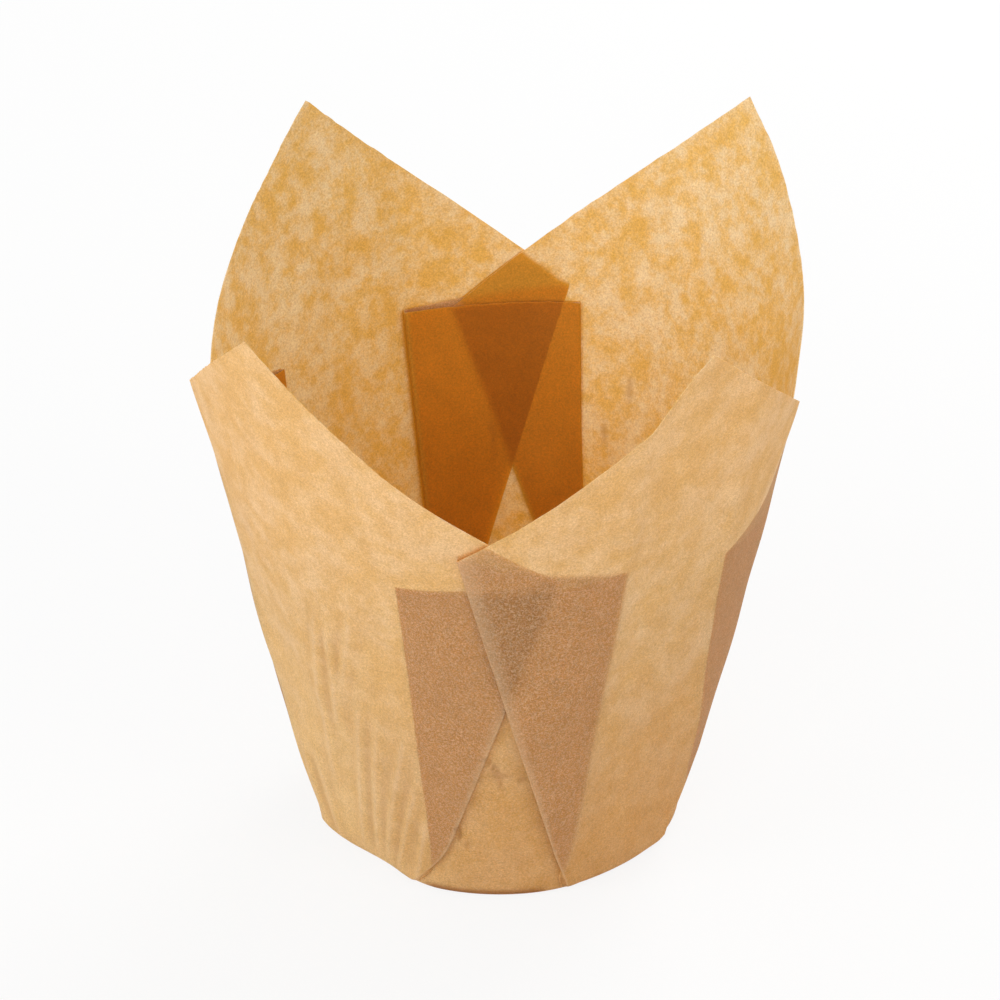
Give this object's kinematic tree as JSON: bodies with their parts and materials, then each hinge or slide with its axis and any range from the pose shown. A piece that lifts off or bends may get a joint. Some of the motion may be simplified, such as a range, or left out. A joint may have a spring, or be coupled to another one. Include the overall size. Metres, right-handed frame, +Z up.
{
  "type": "cupcake liner",
  "caption": "Tulip cupcake liner pressed from one square sheet of brown baking paper, with a flat round base, tall pointed petals and box pleats between them.",
  "frame": {"origin": "centre of the flat base's underside, on the surface that the liner stands on", "axes": "+Z up the cup towards the petals, -Y towards the front pleat, +X to the right of it"},
  "size_m": [0.0828, 0.0824, 0.0956],
  "materials": {
    "paper": "matte unbleached greaseproof baking paper, thin enough to glow against the light"
  },
  "bodies": {
    "root": {"liner": "paper"}
  },
  "joints": []
}
